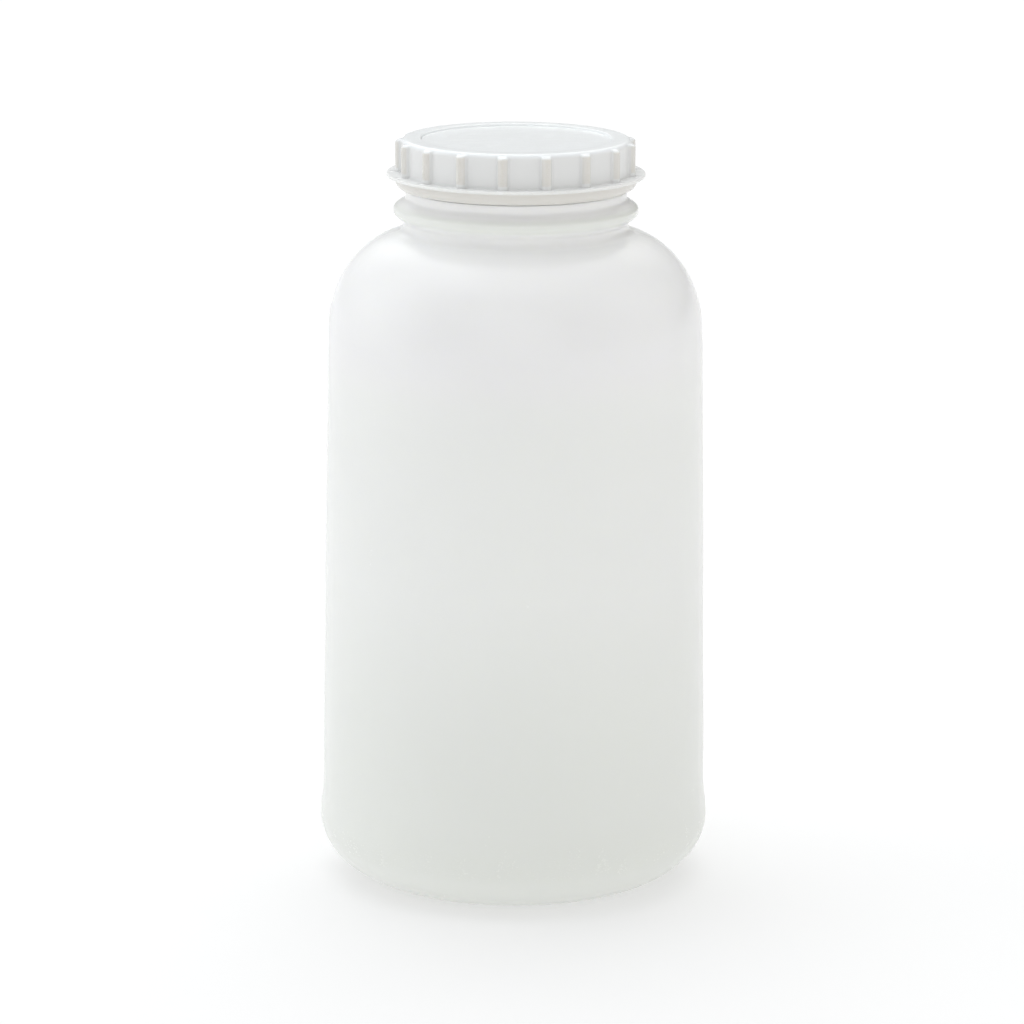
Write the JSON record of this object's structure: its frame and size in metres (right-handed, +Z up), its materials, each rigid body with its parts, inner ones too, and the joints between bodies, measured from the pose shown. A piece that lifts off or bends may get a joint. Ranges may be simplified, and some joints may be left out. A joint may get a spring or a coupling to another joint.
{
  "type": "reagent bottle",
  "caption": "Round wide-mouth reagent bottle in milky plastic, with a beaded neck, a plug-type inner lid and a ribbed, flanged screw cap that unscrews.",
  "frame": {"origin": "on the standing surface, at the centre of the standing ring", "axes": "+Z up along the bottle's axis, -Y towards the viewer, +X to the viewer's right"},
  "size_m": [0.1262, 0.1262, 0.2413],
  "materials": {
    "bottle_plastic": "milky translucent polyethylene, satin",
    "lid_plastic": "milky soft polyethylene, satin",
    "cap_plastic": "white-translucent polypropylene, satin"
  },
  "bodies": {
    "bottle": {"bottle": "bottle_plastic"},
    "lid": {"inner_lid": "lid_plastic"},
    "cap": {"screw_cap": "cap_plastic"}
  },
  "joints": [
    {"name": "lid_lift", "type": "slide", "parent": "bottle", "child": "lid", "axis": [0, 0, 1], "range_m": [0, 0.00701]},
    {"name": "cap_turn", "type": "hinge", "parent": "lid", "child": "cap", "pos_m": [0, 0, 0.2385], "axis": [0, 0, 1], "range_deg": [0, 630]}
  ],
  "couplings": [
    {"joint": "lid_lift", "follows": "cap_turn", "m_per_rad": 0.00063662}
  ]
}
